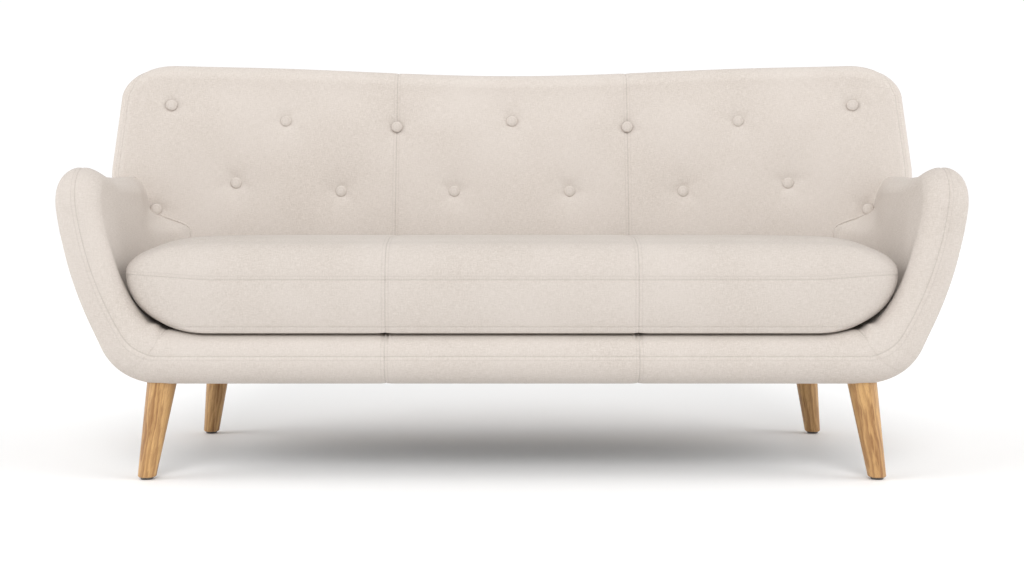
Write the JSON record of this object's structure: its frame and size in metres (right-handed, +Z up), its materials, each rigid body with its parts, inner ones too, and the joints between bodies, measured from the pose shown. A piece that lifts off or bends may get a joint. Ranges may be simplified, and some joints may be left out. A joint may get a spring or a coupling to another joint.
{
  "type": "sofa",
  "caption": "Three-seat tub sofa with a buttoned reclining back, curved arms, a loose seat cushion that lifts off and splayed tapered wooden legs.",
  "frame": {"origin": "middle of the bounding box on the floor", "axes": "+X to the right as seen from the front, the front faces -Y, +Z up"},
  "size_m": [1.89, 0.86, 0.9],
  "materials": {
    "upholstery_fabric": "woven",
    "foam": "foam",
    "oak": "satin oiled",
    "frame_timber": "sawn",
    "plywood": "sanded",
    "elastic_webbing": "woven elastic",
    "dust_cloth": "non-woven",
    "deck_felt": "felt",
    "zinc_plated_steel": "zinc plated",
    "nylon": "moulded"
  },
  "bodies": {
    "sofa": {"arm_pad_left": "upholstery_fabric", "arm_pad_right": "upholstery_fabric", "arm_panel_left": "plywood", "arm_panel_right": "plywood", "back_button_01": "upholstery_fabric", "back_button_02": "upholstery_fabric", "back_button_03": "upholstery_fabric", "back_button_04": "upholstery_fabric", "back_button_05": "upholstery_fabric", "back_button_06": "upholstery_fabric", "back_button_07": "upholstery_fabric", "back_button_08": "upholstery_fabric", "back_button_09": "upholstery_fabric", "back_button_10": "upholstery_fabric", "back_button_11": "upholstery_fabric", "back_button_12": "upholstery_fabric", "back_button_13": "upholstery_fabric", "back_button_14": "upholstery_fabric", "back_button_15": "upholstery_fabric", "back_cover": "upholstery_fabric", "back_pad": "upholstery_fabric", "back_post_left": "frame_timber", "back_post_right": "frame_timber", "back_top_rail": "frame_timber", "back_upright_left": "frame_timber", "back_upright_right": "frame_timber", "back_webbing": "elastic_webbing", "bolt_front_left": "zinc_plated_steel", "bolt_front_right": "zinc_plated_steel", "bolt_rear_left": "zinc_plated_steel", "bolt_rear_right": "zinc_plated_steel", "corner_block_front_left": "frame_timber", "corner_block_front_right": "frame_timber", "corner_block_rear_left": "frame_timber", "corner_block_rear_right": "frame_timber", "cross_rail_left": "frame_timber", "cross_rail_right": "frame_timber", "dust_cover": "dust_cloth", "front_border": "upholstery_fabric", "front_panel": "plywood", "front_rail": "frame_timber", "glide_front_left": "nylon", "glide_front_right": "nylon", "glide_rear_left": "nylon", "glide_rear_right": "nylon", "leg_front_left": "oak", "leg_front_right": "oak", "leg_rear_left": "oak", "leg_rear_right": "oak", "rear_rail": "frame_timber", "seat_deck": "deck_felt", "seat_webbing": "elastic_webbing", "side_rail_left": "frame_timber", "side_rail_right": "frame_timber"},
    "seat_cushion": {"seat_cushion_cover": "upholstery_fabric", "seat_cushion_core": "foam"}
  },
  "joints": [
    {"name": "seat_cushion_lift", "type": "slide", "parent": "sofa", "child": "seat_cushion", "axis": [0, 0, 1], "range_m": [0, 0.62]}
  ]
}
